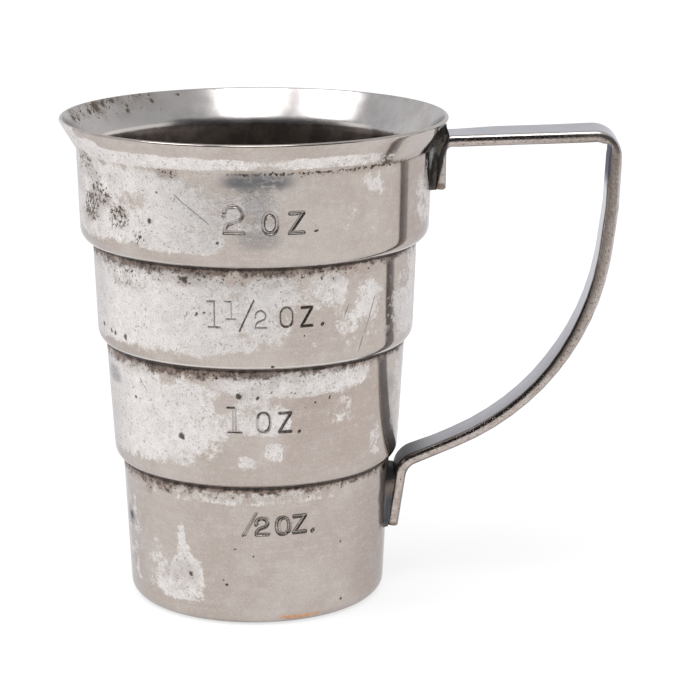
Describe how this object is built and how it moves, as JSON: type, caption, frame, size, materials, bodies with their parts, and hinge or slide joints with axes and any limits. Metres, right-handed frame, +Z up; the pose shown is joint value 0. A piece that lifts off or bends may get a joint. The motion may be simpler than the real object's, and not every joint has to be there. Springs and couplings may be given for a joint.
{
  "type": "cocktail jigger",
  "caption": "Stepped metal bar measure: a cup whose measures widen step by step up to a flared lip, with a flat strap handle bent to a finger loop and soldered on at both feet.",
  "frame": {"origin": "centre of the cup's base, on the surface it stands on", "axes": "+Z up along the cup's axis, +X from the cup towards the handle, +Y across the handle"},
  "size_m": [0.0706, 0.049, 0.0625],
  "materials": {
    "cup_plate": "worn silver plate on a copper alloy: frosted and pitted in patches, smooth and beige where rubbed, brown-black tarnish in the creases, copper showing at the base",
    "handle_plate": "worn silver plate, rubbed smooth and beige on the faces, dark along the edges",
    "upper_joint": "rough solder, tarnished almost black",
    "lower_joint": "rough solder, tarnished dark grey"
  },
  "bodies": {
    "root": {"cup": "cup_plate", "handle": "handle_plate", "upper_solder": "upper_joint", "lower_solder": "lower_joint"}
  },
  "joints": []
}
